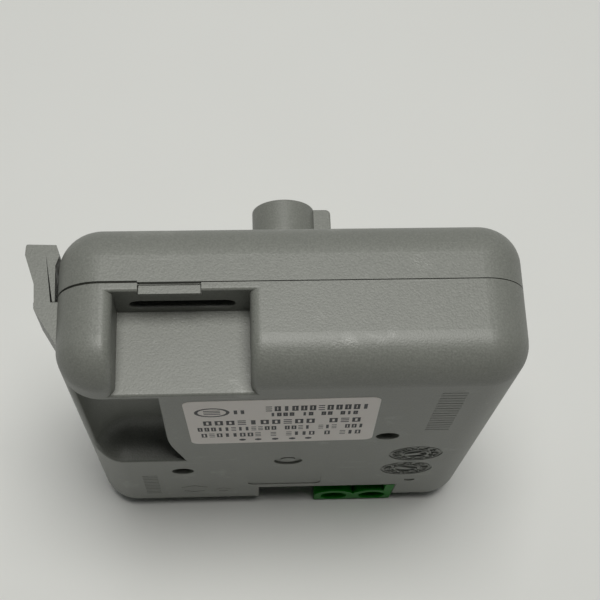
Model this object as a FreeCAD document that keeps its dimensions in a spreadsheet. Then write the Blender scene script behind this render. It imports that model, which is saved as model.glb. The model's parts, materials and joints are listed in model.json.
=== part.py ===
"""Electronic thermostat control module of a storage water heater.

A flat two-part case stands on its far end. X runs to the right as the label side is seen, Y runs
from the label side towards the cover, Z runs up the case. The origin is the middle of the far
end where the two case halves meet. All sizes are millimetres.
"""
import FreeCAD, Part
import math
import os
import Sketcher
from FreeCAD import Placement, Rotation, Vector

DIMENSIONS = {
    # the case
    "case_width": 92.0,
    "case_height": 106.4,
    "outline_radius": 9.0,
    "base_depth": 19.0,
    "base_edge_radius": 8.6,
    "cover_depth": 13.8,
    "cover_edge_radius": 8.0,
    "wall": 2.0,
    "seam_gap": 0.2,
    "seam_lip": 1.0,
    "seam_corner_gap": 0.5,
    "seam_corner_low": 58.0,
    "rim_radius": 0.6,
    # the notch in the near end, with the bracket slot through its back wall
    "notch_left": -34.7,
    "notch_right": -8.5,
    "notch_drop": 11.2,
    "notch_back": -1.6,
    "notch_corner_radius": 2.1,
    "slot_centre": -21.6,
    "slot_drop": 7.3,
    "slot_length": 20.6,
    "slot_width": 3.6,
    # the cover's snap tongue, hooked over the notch's back wall
    "tongue_left": -29.7,
    "tongue_right": -17.9,
    "tongue_play": 0.2,
    "tongue_tip": -1.95,
    "tongue_nose_top": -0.35,
    "tongue_nose_drop": 0.8,
    "tongue_stem_drop": 1.3,
    "tongue_back_drop": 1.9,
    "tongue_root_low": 2.0,
    "tongue_root_high": 4.0,
    # the finger pocket under the notch
    "pocket_left": -43.6,
    "pocket_right": -26.6,
    "pocket_flare_right": -23.5,
    "pocket_top_drop": 13.2,
    "pocket_flare_drop": 47.0,
    "pocket_bottom_drop": 61.3,
    "pocket_floor": -10.0,
    "pocket_corner_radius": 7.0,
    "pocket_ramp_radius": 8.0,
    "pocket_flare_radius": 50.0,
    # the wiring compartment at the far end
    "wiring_left": -6.2,
    "wiring_right": 28.5,
    "wiring_top": 17.0,
    "wiring_floor": -1.0,
    # the moulding marks in the label face: gate, two date dials, an ejector pin, a blank plate
    "gate_x": 0.3,
    "gate_z": 43.2,
    "gate_radius": 3.3,
    "gate_boss_radius": 1.7,
    "dial_one_x": 29.7,
    "dial_one_z": 47.4,
    "dial_two_x": 29.1,
    "dial_two_z": 33.8,
    "dial_radius": 6.2,
    "ejector_x": 31.3,
    "ejector_z": 22.1,
    "ejector_radius": 1.3,
    "plate_x": 0.0,
    "plate_low": 20.0,
    "plate_high": 28.8,
    "plate_half_width": 9.0,
    "mark_depth": 0.25,
    # the two screw wells and their screws
    "well_one_x": 21.5,
    "well_one_z": 62.9,
    "well_two_x": -24.5,
    "well_two_z": 35.2,
    "well_radius": 2.6,
    "well_shoulder": -3.0,
    "well_boss_radius": 4.6,
    "screw_head_radius": 2.5,
    "screw_head_height": 2.0,
    "screw_shank_radius": 1.5,
    "screw_tip": 9.0,
    "cross_reach": 1.5,
    "cross_half_width": 0.3,
    "cross_depth": 1.2,
    "cover_boss_radius": 3.5,
    # the spindle collar on the cover
    "collar_z": 63.0,
    "collar_radius": 7.2,
    "collar_bore": 5.2,
    "collar_rim": 35.5,
    "rib_reach": 11.0,
    "rib_width": 3.0,
    # the adjuster spindle and the potentiometer
    "spindle_radius": 5.14,
    "spindle_top": 33.6,
    "spindle_foot": 5.8,
    "spindle_flange_radius": 6.6,
    "spindle_flange_low": 10.0,
    "spindle_flange_high": 11.5,
    "spindle_foot_wall": 1.5,
    "index_depth": 1.2,
    "index_half_width": 0.6,
    "socket_radius": 3.0,
    "socket_depth": 12.0,
    "pot_side": 11.0,
    "pot_height": 2.8,
    "pot_shaft_radius": 2.5,
    "pot_shaft_top": 10.0,
    "pot_disc_radius": 4.0,
    "pot_disc_play": 0.06,
    "pot_recess_depth": 0.8,
    "pot_disc_gap": 0.1,
    # the side latch
    "latch_drop": 8.0,
    "latch_length": 12.0,
    "latch_step": 0.4,
    # the board
    "board_bottom": 1.0,
    "board_thickness": 1.6,
    "board_play": 0.6,
    "board_top_drop": 14.4,
    "lead_tip": 3.4,
    # the plain parts on the board
    "film_left": -12.0,
    "film_right": 6.0,
    "film_low": 29.0,
    "film_high": 37.5,
    "tall_part_top": -11.5,
    "can_x": -8.0,
    "can_z": 47.0,
    "can_radius": 5.0,
    "fuse_x": 14.0,
    "fuse_z": 30.0,
    "fuse_radius": 4.2,
    "fuse_top": -7.0,
    "varistor_x": 14.0,
    "varistor_y": -4.2,
    "varistor_radius": 5.0,
    "varistor_low": 44.0,
    "varistor_thickness": 4.0,
    "choke_x": 6.0,
    "choke_z": 60.0,
    "choke_radius": 4.5,
    "choke_top": -9.0,
    "chip_left": -6.0,
    "chip_low": 74.0,
    "chip_length": 7.0,
    "chip_width": 5.0,
    "chip_top": -0.7,
    # the two blades and the sensor socket in the wiring compartment
    "tab_x": 2.0,
    "tab_pitch": 4.2,
    "tab_thickness": 0.8,
    "tab_outer": -9.3,
    "tab_inner": -3.0,
    "tab_tip": 7.0,
    "tab_end": 21.0,
    "tab_foot": 1.4,
    "sensor_x": -2.3,
    "sensor_pitch": 2.0,
    "pin_half_width": 0.32,
    "pin_y": -5.6,
    "pin_thickness": 0.6,
    "pin_tip": 20.6,
    "pin_bend": 26.6,
    "sensor_half_width": 3.4,
    "sensor_wall": 0.6,
    "sensor_outer": -8.0,
    "sensor_inner": -3.3,
    "sensor_end": 27.6,
    "sensor_floor": 2.2,
    "window_play": 0.2,
    # the terminal block
    "terminal_x": 18.4,
    "terminal_pitch": 10.0,
    "terminal_width": 20.0,
    "terminal_face": -15.5,
    "terminal_low": 1.0,
    "terminal_high": 15.9,
    "block_step": 0.2,
    "turret_radius": 5.3,
    "end_post": 2.2,
    "turret_face": -18.8,
    "turret_bore": 3.4,
    "turret_floor": -12.0,
    "clamp_axis_z": 4.9,
    "clamp_screw_radius": 1.8,
    "clamp_head_radius": 2.9,
    "clamp_head_height": 2.2,
    "chamber_top": -11.4,
    "chamber_half_width": 3.6,
    "chamber_low": 2.0,
    "chamber_high": 7.8,
    "cage_half_width": 3.3,
    "cage_wall": 0.8,
    "cage_plate": 1.0,
    "cage_top": -8.1,
    "cage_bottom": -0.2,
    "cage_low": 2.3,
    "cage_high": 7.5,
    "bar_top": -6.9,
    "bar_thickness": 1.0,
    "bar_half_width": 2.2,
    "leg_low": 9.0,
    "leg_half_width": 0.6,
    "neck_play": 0.3,
    "seat_play": 0.05,
    "clamp_slot_depth": 1.1,
    "clamp_slot_half_width": 0.4,
    "cage_thread_play": 0.06,
    # the relay
    "relay_x": 31.0,
    "relay_z": 37.0,
    "relay_width": 12.7,
    "relay_length": 29.0,
    "relay_height": 15.7,
    "relay_wall": 0.8,
    "relay_inner_half_width": 5.5,
    "relay_inner_half_length": 13.65,
    "relay_base_top": -0.6,
    "relay_base_low": 0.9,
    "relay_core_y": -8.6,
    "relay_core_radius": 1.8,
    "relay_coil_radius": 4.2,
    "relay_flange_radius": 4.7,
    "relay_flange": 0.8,
    "relay_coil_far": -11.4,
    "relay_coil_near": 2.6,
    "relay_core_near": 3.4,
    "yoke_half_width": 4.3,
    "yoke_thickness": 1.4,
    "yoke_top": -13.0,
    "yoke_bottom": -2.2,
    "yoke_leg_near": 3.6,
    "yoke_foot_half_width": 2.0,
    "armature_far": 4.15,
    "armature_near": 5.35,
    "armature_top": -12.6,
    "armature_bottom": -2.9,
    "armature_heel": 1.0,
    "armature_heel_far": 3.75,
    "contact_z": 11.0,
    "contact_radius": 1.2,
    "contact_strip_half_width": 2.0,
    "contact_strip_thickness": 0.6,
    "moving_strip_top": -4.0,
    "moving_strip_near": 12.2,
    "moving_contact_top": -4.6,
    "fixed_strip_top": -6.85,
    "fixed_strip_far": 9.6,
    "fixed_strip_near": 13.4,
    "fixed_contact_bottom": -5.45,
    # the label
    "label_width": 39.5,
    "label_height": 31.0,
    "label_thickness": 0.12,
    "label_x": -2.0,
    "label_drop": 30.4,
    "label_tilt": 1.6,
}

# The latch's cross-section, seen from the near end: x and y of each corner.
LATCH_OUTLINE = {
    "foot_outer": (-50.65, -0.5),
    "waist": (-50.85, 3.6),
    "shoulder": (-52.85, 9.85),
    "crown_outer": (-52.75, 12.15),
    "crown_inner": (-46.75, 11.95),
    "facet_tip": (-46.1, 9.6),
    "facet_root": (-46.8, 7.4),
    "leaf_tip_inner": (-46.6, -0.2),
    "leaf_tip_outer": (-47.1, -0.2),
    "gap_top": (-48.8, 10.4),
    "foot_inner": (-47.45, -0.5),
}

# The gusset that carries the latch, in the same view.
GUSSET_OUTLINE = {
    "wall_top": (-45.0, -0.5),
    "ledge": (-50.7, -0.5),
    "cheek": (-50.6, -1.8),
    "flank": (-48.25, -5.7),
    "wall_low": (-45.0, -10.9),
}

doc = FreeCAD.newDocument("thermostat_module")


# ---------------------------------------------------------------- spreadsheet

def fill_sheet():
    """Put every driving dimension in the sheet, one row each, with its name as alias."""
    sheet = doc.addObject("Spreadsheet::Sheet", "Dims")
    for row, (name, value) in enumerate(DIMENSIONS.items(), 1):
        sheet.set(f"A{row}", name)
        sheet.set(f"B{row}", str(value))
        sheet.setAlias(f"B{row}", name)
    row = len(DIMENSIONS)
    for prefix, outline in (("latch", LATCH_OUTLINE), ("gusset", GUSSET_OUTLINE)):
        for corner, place in outline.items():
            for letter, value in zip("xy", place):
                row += 1
                alias = f"{prefix}_{corner}_{letter}"
                sheet.set(f"A{row}", alias)
                sheet.set(f"B{row}", str(value))
                sheet.setAlias(f"B{row}", alias)
    doc.recompute()
    return sheet


SHEET = fill_sheet()


def size(name):
    """The value of one named dimension, for the few places where code needs the number."""
    return float(SHEET.get(name))


def formula(text):
    """Turn plain words such as 'case_width / 2' into a formula over the sheet."""
    words = []
    for word in str(text).replace("(", "( ").replace(")", " )").split():
        words.append(f"Dims.{word}" if word.replace("_", "").isalpha() else word)
    return " ".join(words)


def bind(thing, **formulas):
    """Bind properties of an object to the sheet; x, y and z are its place."""
    for name, text in formulas.items():
        path = f"Placement.Base.{name}" if name in "xyz" else name
        thing.setExpression(path, formula(text))
    return thing


# ---------------------------------------------------------------- small builders

def block(name, x, y, z):
    """A box from three (low, high) pairs of formulas."""
    made = doc.addObject("Part::Box", name)
    lengths = [f"( {high} ) - ( {low} )" for low, high in (x, y, z)]
    bind(made, Length=lengths[0], Width=lengths[1], Height=lengths[2])
    return bind(made, x=x[0], y=y[0], z=z[0])


AXES = {
    "x": Rotation(Vector(0, 1, 0), 90),
    "y": Rotation(Vector(1, 0, 0), -90),
    "z": Rotation(),
}


def rod(name, axis, radius, low, high, **place):
    """A cylinder along an axis from low to high; place gives the two other coordinates."""
    made = doc.addObject("Part::Cylinder", name)
    made.Placement = Placement(Vector(), AXES[axis])
    bind(made, Radius=radius, Height=f"( {high} ) - ( {low} )")
    return bind(made, **{axis: low}, **place)


def fuse(name, *pieces):
    made = doc.addObject("Part::MultiFuse", name)
    made.Shapes = list(pieces)
    made.Refine = True
    return made


def cut(name, body, *tools):
    made = doc.addObject("Part::Cut", name)
    made.Base = body
    made.Tool = tools[0] if len(tools) == 1 else fuse(name + "_tools", *tools)
    return made


def common(name, *pieces):
    made = doc.addObject("Part::MultiCommon", name)
    made.Shapes = list(pieces)
    return made


def group(name, *pieces):
    """Separate solids that share one node."""
    made = doc.addObject("Part::Compound", name)
    made.Links = list(pieces)
    return made


def rounded(name, body, radius, wanted):
    """Fillet the edges of a finished object that the test picks."""
    doc.recompute()
    picked = [i for i, edge in enumerate(body.Shape.Edges, 1) if wanted(edge)]
    if not picked:
        raise RuntimeError(f"{name}: no edge to round")
    made = doc.addObject("Part::Fillet", name)
    made.Base = body
    made.Edges = [(i, radius, radius) for i in picked]
    doc.recompute()
    return made


def spans(edge, **limits):
    """Whether an edge lies inside the given (low, high) limits of x, y and z."""
    box = edge.BoundBox
    lows = {"x": box.XMin, "y": box.YMin, "z": box.ZMin}
    highs = {"x": box.XMax, "y": box.YMax, "z": box.ZMax}
    slack = 0.01
    return all(low - slack <= lows[k] and highs[k] <= high + slack for k, (low, high) in limits.items())


# ---------------------------------------------------------------- sketches and bodies

def new_sketch(body, role, offset=None):
    plane = next(f for f in body.Origin.OriginFeatures if f.Role == role)
    sketch = body.newObject("Sketcher::SketchObject", body.Name + "_sketch")
    sketch.AttachmentSupport = (plane, "")
    sketch.MapMode = "FlatFace"
    if offset is not None:
        sketch.setExpression("AttachmentOffset.Base.z", formula(offset))
    return sketch


def draw_rounded_rectangle(sketch, left, right, low, high, radius):
    """Four lines and four tangent arcs, held by the four arc centres and one radius."""
    corners = [Vector(-30, 10), Vector(30, 10), Vector(30, 90), Vector(-30, 90)]
    turn = math.pi / 2
    arcs = []
    for i, centre in enumerate(corners):
        circle = Part.Circle(centre, Vector(0, 0, 1), 5)
        arcs.append(sketch.addGeometry(Part.ArcOfCircle(circle, (i + 2) * turn, (i + 3) * turn)))
    lines = []
    for i in range(4):
        start = sketch.getPoint(arcs[i], 2)
        end = sketch.getPoint(arcs[(i + 1) % 4], 1)
        lines.append(sketch.addGeometry(Part.LineSegment(start, end)))
    for i in range(4):
        sketch.addConstraint(Sketcher.Constraint("Tangent", arcs[i], 2, lines[i], 1))
        sketch.addConstraint(Sketcher.Constraint("Tangent", lines[i], 2, arcs[(i + 1) % 4], 1))
        direction = "Horizontal" if i % 2 == 0 else "Vertical"
        sketch.addConstraint(Sketcher.Constraint(direction, lines[i]))
        if i:
            sketch.addConstraint(Sketcher.Constraint("Equal", arcs[0], arcs[i]))
    held = [("Radius", (arcs[0], 5.0), radius)]
    held.append(("DistanceX", (-1, 1, arcs[0], 3, -30.0), f"( {left} ) + ( {radius} )"))
    held.append(("DistanceY", (-1, 1, arcs[0], 3, 10.0), f"( {low} ) + ( {radius} )"))
    held.append(("DistanceX", (-1, 1, arcs[2], 3, 30.0), f"( {right} ) - ( {radius} )"))
    held.append(("DistanceY", (-1, 1, arcs[2], 3, 90.0), f"( {high} ) - ( {radius} )"))
    for kind, where, text in held:
        index = sketch.addConstraint(Sketcher.Constraint(kind, *where))
        sketch.setExpression(f"Constraints[{index}]", formula(text))


def draw_polygon(sketch, corners):
    """A closed outline whose corners are pairs of formulas, each with its starting guess."""
    places = [Vector(*guess, 0) for guess, _ in corners]
    count = len(places)
    for i in range(count):
        sketch.addGeometry(Part.LineSegment(places[i], places[(i + 1) % count]))
    for i in range(count):
        sketch.addConstraint(Sketcher.Constraint("Coincident", i, 2, (i + 1) % count, 1))
    for i, (guess, texts) in enumerate(corners):
        for kind, value, text in zip(("DistanceX", "DistanceY"), guess, texts):
            index = sketch.addConstraint(Sketcher.Constraint(kind, -1, 1, i, 1, value))
            sketch.setExpression(f"Constraints[{index}]", formula(text))


def pad(body, sketch, length, reverse=False):
    made = body.newObject("PartDesign::Pad", body.Name + "_pad")
    made.Profile = sketch
    made.setExpression("Length", formula(length))
    made.Reversed = reverse
    doc.recompute()
    return made


def soften(body, feature, radius, wanted):
    """A PartDesign fillet on the edges that the test picks."""
    names = [f"Edge{i}" for i, edge in enumerate(feature.Shape.Edges, 1) if wanted(edge)]
    if not names:
        raise RuntimeError(f"{body.Name}: no edge to soften")
    made = body.newObject("PartDesign::Fillet", body.Name + "_fillet")
    made.Base = (feature, names)
    made.setExpression("Radius", formula(radius))
    doc.recompute()
    return made


def case_plate(name, inset, depth, towards_cover, edge_radius=None):
    """A plate with the case's outline drawn in by inset; its outer face's edge can be rounded."""
    body = doc.addObject("PartDesign::Body", name)
    sketch = new_sketch(body, "XZ_Plane")
    draw_rounded_rectangle(
        sketch,
        f"0 - case_width / 2 + {inset}",
        f"case_width / 2 - {inset}",
        inset,
        f"case_height - {inset}",
        f"outline_radius - {inset}",
    )
    doc.recompute()
    plate = pad(body, sketch, depth, reverse=towards_cover)
    if edge_radius is not None:
        face = plate.Shape.BoundBox.YMax if towards_cover else plate.Shape.BoundBox.YMin
        soften(body, plate, edge_radius, lambda edge: spans(edge, y=(face, face)))
    return body


def prism(name, outline, prefix, start, length):
    """An upright prism over an outline whose corners are in the sheet."""
    body = doc.addObject("PartDesign::Body", name)
    sketch = new_sketch(body, "XY_Plane", start)
    corners = [(place, (f"{prefix}_{corner}_x", f"{prefix}_{corner}_y")) for corner, place in outline.items()]
    draw_polygon(sketch, corners)
    doc.recompute()
    pad(body, sketch, length)
    return body


# ---------------------------------------------------------------- the case

WELLS = ("well_one", "well_two")


def make_pocket_space():
    """The finger pocket's space: straight on the right, flaring low down, with a ramped low end."""
    body = doc.addObject("PartDesign::Body", "pocket_space")
    sketch = new_sketch(body, "XZ_Plane", "base_depth + wall")
    top = "case_height - pocket_top_drop"
    low = "case_height - pocket_bottom_drop"
    corners = [
        ((-43.6, 93.2), ("pocket_left", top)),
        ((-43.6, 45.1), ("pocket_left", low)),
        ((-23.5, 45.1), ("pocket_flare_right", low)),
        ((-26.6, 59.4), ("pocket_right", "case_height - pocket_flare_drop")),
        ((-26.6, 93.2), ("pocket_right", top)),
    ]
    draw_polygon(sketch, corners)
    doc.recompute()
    space = pad(body, sketch, "base_depth + wall + pocket_floor", reverse=True)
    left = size("pocket_left")
    top_of_pocket = size("case_height") - size("pocket_top_drop")
    bottom = size("case_height") - size("pocket_bottom_drop")
    floor = size("pocket_floor")
    right = size("pocket_right")

    # the corner where the straight right side turns into the flare
    def flare(edge):
        box = edge.BoundBox
        return spans(edge, x=(right, right)) and box.ZLength < 0.01 and box.ZMin < top_of_pocket - 1

    # the ramp's rounding runs on round the corner and up the left side
    def low_left_corner(edge):
        return spans(edge, x=(left, left), z=(bottom, bottom))

    def ramp(edge):
        return spans(edge, y=(floor, floor), z=(bottom, bottom)) and edge.Length > 5

    curved = soften(body, space, "pocket_flare_radius", flare)
    rounded_plan = soften(body, curved, "pocket_corner_radius", low_left_corner)
    soften(body, rounded_plan, "pocket_ramp_radius", ramp)
    return body


def make_slot_space():
    """The oblong bracket slot through the notch's back wall."""
    half = "( slot_length - slot_width ) / 2"
    z = "case_height - slot_drop"
    y = ("notch_back - wall", "wall")
    reach = "slot_width / 2"
    ends = [
        rod(f"slot_end_{side}", "y", reach, *y, x=f"slot_centre {sign} {half}", z=z)
        for side, sign in (("left", "-"), ("right", "+"))
    ]
    x = (f"slot_centre - {half}", f"slot_centre + {half}")
    middle = block("slot_middle", x, y, (f"{z} - {reach}", f"{z} + {reach}"))
    return fuse("slot_space", middle, *ends)


def make_notched_base():
    """The label-side half as a solid, with the notch cut and its edges rounded."""
    solid = case_plate("base_outer", "0", "base_depth", False, "base_edge_radius")
    notch = block(
        "notch_space",
        ("notch_left", "notch_right"),
        ("0 - base_depth - wall", "notch_back"),
        ("case_height - notch_drop", "case_height + wall"),
    )
    notched = cut("base_notched", solid, notch)
    shelf = size("case_height") - size("notch_drop")
    back = size("notch_back")
    sides = (size("notch_left"), size("notch_right"))

    def cheek(edge):
        flat = any(spans(edge, x=(side, side)) for side in sides)
        return flat and not spans(edge, y=(back, back)) and not spans(edge, z=(shelf, shelf))

    return rounded("base_cheeks", notched, size("notch_corner_radius"), cheek)


def make_base_cavity():
    """The label-side half's inside, less the walls round the notch, pocket and compartment."""
    hollow = case_plate("base_hollow", "wall", "base_depth - wall", False, "base_edge_radius - wall")
    deep = "0 - base_depth - wall"
    notch_walls = block(
        "notch_walls",
        ("notch_left - wall", "notch_right + wall"),
        (deep, "wall"),
        ("case_height - notch_drop - wall", "case_height"),
    )
    pocket_walls = block(
        "pocket_walls",
        ("0 - case_width / 2", "pocket_flare_right + wall"),
        (deep, "pocket_floor + wall"),
        ("case_height - pocket_bottom_drop - wall", "case_height"),
    )
    wiring_walls = block(
        "wiring_walls",
        ("wiring_left - wall", "wiring_right + wall"),
        (deep, "wiring_floor + wall"),
        ("0", "wiring_top + wall"),
    )
    return cut("base_cavity", hollow, notch_walls, pocket_walls, wiring_walls)


def shared_rim(first, second):
    """A test that picks the edges where the surfaces of two objects meet."""
    def wanted(edge):
        middle = edge.valueAt((edge.FirstParameter + edge.LastParameter) / 2)
        point = Part.Vertex(middle)
        return all(point.distToShape(Part.Shell(thing.Shape.Faces))[0] < 0.005 for thing in (first, second))
    return wanted


def make_moulding_marks():
    """The shallow marks that the mould leaves in the label face."""
    low = "0 - base_depth - 1"
    shallow = "0 - base_depth + mark_depth"
    gate = rod("gate_ring", "y", "gate_radius", low, "0 - base_depth + 2 * mark_depth", x="gate_x", z="gate_z")
    boss = rod("gate_boss", "y", "gate_boss_radius", shallow, "0", x="gate_x", z="gate_z")
    marks = [cut("gate_mark", gate, boss)]
    for dial in ("dial_one", "dial_two"):
        marks.append(rod(f"{dial}_mark", "y", "dial_radius", low, shallow, x=f"{dial}_x", z=f"{dial}_z"))
    marks.append(rod("ejector_mark", "y", "ejector_radius", low, shallow, x="ejector_x", z="ejector_z"))
    plate = block(
        "plate_blank",
        ("plate_x - plate_half_width", "plate_x + plate_half_width"),
        (low, shallow),
        ("plate_low", "plate_high"),
    )
    marks.append(rounded("plate_mark", plate, 1.6, lambda edge: 1.2 < edge.Length < 1.3))
    return marks


def make_base_housing(windows):
    """The label-side half; windows are the spaces of the pieces that pass through its walls."""
    solid = make_notched_base()
    shell = cut("base_shell", solid, make_base_cavity())
    bosses = []
    bores = []
    for well in WELLS:
        place = {"x": f"{well}_x", "z": f"{well}_z"}
        deep = "0 - base_depth"
        bosses.append(rod(f"{well}_boss", "y", "well_boss_radius", f"{deep} + 1", "board_bottom", **place))
        bores.append(rod(f"{well}_bore", "y", "well_radius", f"{deep} - 1", "well_shoulder", **place))
        bores.append(rod(f"{well}_shank", "y", "screw_shank_radius", "well_shoulder - 1", "wall", **place))
    gusset = prism(
        "latch_gusset",
        GUSSET_OUTLINE,
        "gusset",
        "case_height - latch_drop - latch_length",
        "latch_length",
    )
    compartment = block(
        "wiring_space",
        ("wiring_left", "wiring_right"),
        ("0 - base_depth - wall", "wiring_floor"),
        ("0 - wall", "wiring_top"),
    )
    tongue_window = block(
        "tongue_window",
        ("tongue_left - tongue_play", "tongue_right + tongue_play"),
        ("notch_back - wall", "wall"),
        ("case_height - tongue_back_drop - tongue_play", "case_height + wall"),
    )
    whole = fuse("base_with_bosses", shell, gusset, *bosses)
    pocket = make_pocket_space()
    slot = make_slot_space()
    spaces = [pocket, slot, compartment, tongue_window, *make_moulding_marks()]
    sharp = cut("base_sharp", whole, *spaces, *bores, *windows)
    doc.recompute()
    shelf = size("case_height") - size("notch_drop")
    face = -size("base_depth")
    back = size("notch_back")
    top = size("case_height")
    rim = size("rim_radius")

    def lip(edge):
        return spans(edge, y=(back, back), z=(top, top))

    def shelf_front(edge):
        return spans(edge, y=(face, face), z=(shelf, shelf))

    step = rounded("base_lip", sharp, rim, lip)
    step = rounded("base_shelf", step, rim, shelf_front)
    step = rounded("base_pocket_rim", step, rim, shared_rim(pocket, solid))
    step = rounded("base_slot_rim", step, rim / 2, shared_rim(slot, solid))
    return rounded("base_housing", step, rim / 2, shared_rim(compartment, solid))


def make_front_cover():
    """The cover half with the spindle's hole, the screw bosses and the snap tongue."""
    outer = case_plate("cover_outer", "0", "cover_depth", True, "cover_edge_radius")
    hollow = case_plate("cover_hollow", "wall", "cover_depth - wall", True, "cover_edge_radius - wall")
    shell = cut("cover_shell", outer, hollow)
    inside = "cover_depth - wall / 2"
    hole = rod("spindle_hole", "y", "collar_bore", "wall", "cover_depth + 1", x="0", z="collar_z")
    bosses = []
    pilots = []
    for well in WELLS:
        place = {"x": f"{well}_x", "z": f"{well}_z"}
        low = "board_bottom + board_thickness"
        bosses.append(rod(f"{well}_cover_boss", "y", "cover_boss_radius", low, inside, **place))
        pilots.append(rod(f"{well}_pilot", "y", "screw_shank_radius", "0", "screw_tip", **place))
    across = ("tongue_left", "tongue_right")
    back = "case_height - tongue_back_drop"
    stem_z = (back, "case_height - tongue_stem_drop")
    stem = block("tongue_stem", across, ("tongue_tip", "tongue_root_high"), stem_z)
    nose = block(
        "tongue_nose",
        across,
        ("tongue_tip", "tongue_nose_top"),
        (back, "case_height - tongue_nose_drop"),
    )
    root_z = (back, "case_height - wall / 2")
    root = block("tongue_root", across, ("tongue_root_low", "tongue_root_high"), root_z)
    whole = fuse("cover_whole", shell, stem, nose, root, *bosses)
    return cut("front_cover", whole, hole, *make_seam(), *pilots)


def make_seam():
    """The fine groove between the halves, and the wedge by which they gape at the latch corner."""
    fine = cut(
        "seam_groove",
        case_plate("seam_outer", "0", "seam_gap", True),
        case_plate("seam_inner", "seam_lip", "seam_gap", True),
    )
    band = cut(
        "seam_band",
        case_plate("band_outer", "0", "seam_corner_gap", True),
        case_plate("band_inner", "seam_lip", "seam_corner_gap", True),
    )
    rise = size("case_height") - size("seam_corner_low")
    tilt = math.degrees(math.atan((size("seam_corner_gap") - size("seam_gap")) / rise))
    wedge = block(
        "seam_wedge",
        ("0 - case_width / 2 - 1", "tongue_left - tongue_play"),
        ("seam_gap - 2", "seam_gap"),
        ("seam_corner_low", "case_height + 1"),
    )
    wedge.Placement.Rotation = Rotation(Vector(1, 0, 0), -tilt)
    turned = Vector(0, -2 * math.cos(math.radians(tilt)), 2 * math.sin(math.radians(tilt)))
    bind(wedge, y=f"seam_gap + {turned.y}", z=f"seam_corner_low + {turned.z}")
    return [fine, common("seam_gape", band, wedge)]


def make_spindle_collar():
    """The collar that stands on the cover round the spindle, with its index rib."""
    axis = {"x": "0", "z": "collar_z"}
    tube = rod("collar_tube", "y", "collar_radius", "cover_depth", "collar_rim", **axis)
    rib = block(
        "index_rib",
        ("collar_radius - wall / 2", "rib_reach"),
        ("cover_depth", "collar_rim"),
        ("collar_z - rib_width / 2", "collar_z + rib_width / 2"),
    )
    reach = size("rib_reach")
    rib_round = rounded("index_rib_round", rib, 1.2, lambda e: spans(e, x=(reach, reach)) and e.Length < 4)
    bore = rod("collar_bore_space", "y", "collar_bore", "wall", "collar_rim + 1", **axis)
    sharp = cut("collar_sharp", fuse("collar_solid", tube, rib_round), bore)
    rim = size("collar_rim")
    return rounded("spindle_collar", sharp, size("rim_radius") / 2, lambda edge: spans(edge, y=(rim, rim)))


def make_side_latch():
    """The hairpin clip: an outer arm that rises from the gusset and a leaf folded back beside the wall."""
    body = prism(
        "side_latch",
        LATCH_OUTLINE,
        "latch",
        "case_height - latch_drop - latch_length",
        "latch_length - latch_step",
    )
    places = [LATCH_OUTLINE[name] for name in ("shoulder", "crown_outer")]

    def outer_corner(edge):
        return any(spans(edge, x=(x, x), y=(y, y)) for x, y in places)

    soften(body, body.Tip, "wall / 4", outer_corner)
    return body


def make_rating_label():
    """The sticker, set a little crooked as such labels are."""
    body = doc.addObject("PartDesign::Body", "rating_label")
    sketch = new_sketch(body, "XZ_Plane")
    half_width = "label_width / 2"
    half_height = "label_height / 2"
    draw_rounded_rectangle(
        sketch, f"0 - {half_width}", half_width, f"0 - {half_height}", half_height, "wall"
    )
    doc.recompute()
    pad(body, sketch, "label_thickness")
    body.Placement = Placement(Vector(), Rotation(Vector(0, 1, 0), -size("label_tilt")))
    return bind(body, x="label_x", y="0 - base_depth", z="case_height - label_drop")


def make_case_screws():
    """The two case screws, pan heads at the bottom of the wells."""
    screws = []
    for well in WELLS:
        place = {"x": f"{well}_x", "z": f"{well}_z"}
        top = "well_shoulder - screw_head_height"
        head = rod(f"{well}_head", "y", "screw_head_radius", top, "well_shoulder", **place)
        shank = rod(f"{well}_thread", "y", "screw_shank_radius", "well_shoulder", "screw_tip", **place)
        arms = []
        for name, across, along in (
            ("wide", "cross_reach", "cross_half_width"),
            ("tall", "cross_half_width", "cross_reach"),
        ):
            x = (f"{well}_x - {across}", f"{well}_x + {across}")
            z = (f"{well}_z - {along}", f"{well}_z + {along}")
            arms.append(block(f"{well}_recess_{name}", x, (f"{top} - 1", f"{top} + cross_depth"), z))
        screws.append(cut(f"{well}_screw", fuse(f"{well}_blank", head, shank), *arms))
    return group("case_screws", *screws)


# ---------------------------------------------------------------- the adjuster

def make_adjuster_spindle():
    """The temperature spindle: a round knob socket on top and a press bore for the shaft below."""
    axis = {"x": "0", "z": "collar_z"}
    stem = rod("spindle_stem", "y", "spindle_radius", "spindle_flange_low", "spindle_top", **axis)
    flange_y = ("spindle_flange_low", "spindle_flange_high")
    flange = rod("spindle_flange", "y", "spindle_flange_radius", *flange_y, **axis)
    foot_radius = "pot_shaft_radius + spindle_foot_wall"
    foot = rod("spindle_foot_ring", "y", foot_radius, "spindle_foot", "spindle_flange_high", **axis)
    socket = rod("knob_socket", "y", "socket_radius", "spindle_top - socket_depth", "spindle_top + 1", **axis)
    press = rod("shaft_bore", "y", "pot_shaft_radius", "spindle_foot - 1", "pot_shaft_top", **axis)
    index = block(
        "index_notch",
        ("socket_radius - 0.5", "spindle_radius + 1"),
        ("spindle_top - index_depth", "spindle_top + 1"),
        ("collar_z - index_half_width", "collar_z + index_half_width"),
    )
    return cut("adjuster_spindle", fuse("spindle_blank", stem, flange, foot), socket, press, index)


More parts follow.
